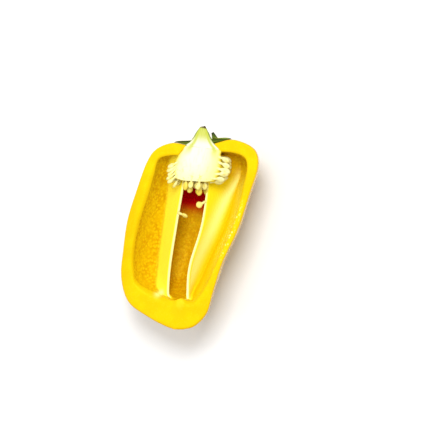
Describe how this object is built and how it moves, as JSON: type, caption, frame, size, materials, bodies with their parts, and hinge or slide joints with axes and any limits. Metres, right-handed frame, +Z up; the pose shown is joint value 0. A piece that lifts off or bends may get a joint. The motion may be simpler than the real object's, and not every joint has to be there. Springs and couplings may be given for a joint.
{
  "type": "bell pepper half",
  "caption": "Half of a long yellow bell pepper, cut from stem to tip and lying on its back: open fleshy wall with ribs, seed core and a stem with its calyx.",
  "frame": {"origin": "on the small flat of the back that the half rests on, under its centre of mass", "axes": "+Z up out of the cut face, +Y along the fruit towards the stem, +X to the right of the stem in the cut face"},
  "size_m": [0.0765, 0.1236, 0.035],
  "materials": {
    "flesh": "waxy glossy yellow skin, juicy cut flesh and paler ribs",
    "seed_core": "spongy cream core with smooth cream seeds",
    "stem": "matt yellow-green stem with darker sepals"
  },
  "bodies": {
    "root": {"flesh": "flesh", "seed_core": "seed_core", "stem": "stem"}
  },
  "joints": []
}
